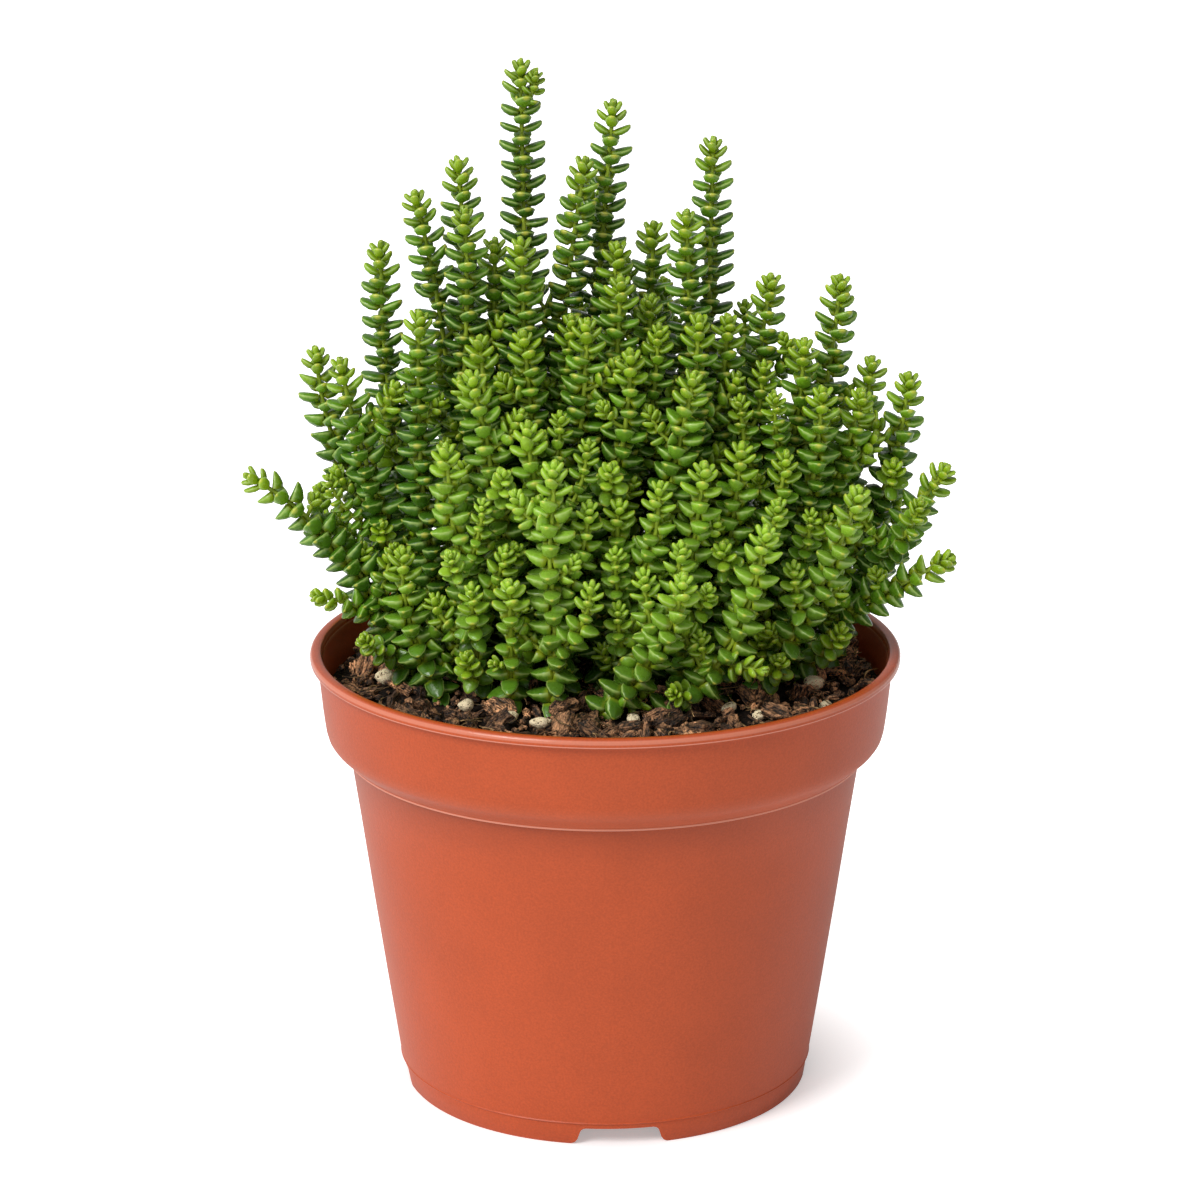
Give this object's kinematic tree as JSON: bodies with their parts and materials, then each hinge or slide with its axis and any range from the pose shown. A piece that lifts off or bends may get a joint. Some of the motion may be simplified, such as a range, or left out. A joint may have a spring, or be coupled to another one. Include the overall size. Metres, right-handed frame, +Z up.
{
  "type": "potted watch chain plant",
  "caption": "Clump of upright leafy succulent stems in potting mix, in a round tapered plastic nursery pot with a banded rim and notched foot.",
  "frame": {"origin": "middle of the pot's foot, on the surface it stands on", "axes": "+Z up, -Y towards the side the picture shows"},
  "size_m": [0.1433, 0.12, 0.2099],
  "materials": {
    "pot_plastic": "satin terracotta brown moulding, slightly glossy lip",
    "potting_mix": "rough dark bark chips and fibre with pale pumice grains",
    "leaf": "waxy green succulent leaves, brighter yellow-green at the stem tips"
  },
  "bodies": {
    "root": {"pot": "pot_plastic", "soil": "potting_mix", "sprig_01": "leaf", "sprig_02": "leaf", "sprig_03": "leaf", "sprig_04": "leaf", "sprig_05": "leaf", "sprig_06": "leaf", "sprig_07": "leaf", "sprig_08": "leaf", "sprig_09": "leaf", "sprig_10": "leaf", "sprig_11": "leaf", "sprig_12": "leaf", "sprig_13": "leaf", "sprig_14": "leaf", "sprig_15": "leaf", "sprig_16": "leaf", "sprig_17": "leaf", "sprig_18": "leaf", "sprig_19": "leaf", "sprig_20": "leaf", "sprig_21": "leaf", "sprig_22": "leaf", "sprig_23": "leaf", "sprig_24": "leaf", "sprig_25": "leaf", "sprig_26": "leaf", "sprig_27": "leaf", "sprig_28": "leaf", "sprig_29": "leaf", "sprig_30": "leaf", "sprig_31": "leaf", "sprig_32": "leaf", "sprig_33": "leaf", "sprig_34": "leaf", "sprig_35": "leaf", "sprig_36": "leaf", "sprig_37": "leaf", "sprig_38": "leaf", "sprig_39": "leaf", "sprig_40": "leaf", "sprig_41": "leaf", "sprig_42": "leaf", "sprig_43": "leaf", "sprig_44": "leaf", "sprig_45": "leaf", "sprig_46": "leaf", "sprig_47": "leaf", "sprig_48": "leaf", "sprig_49": "leaf", "sprig_50": "leaf", "sprig_51": "leaf"}
  },
  "joints": []
}
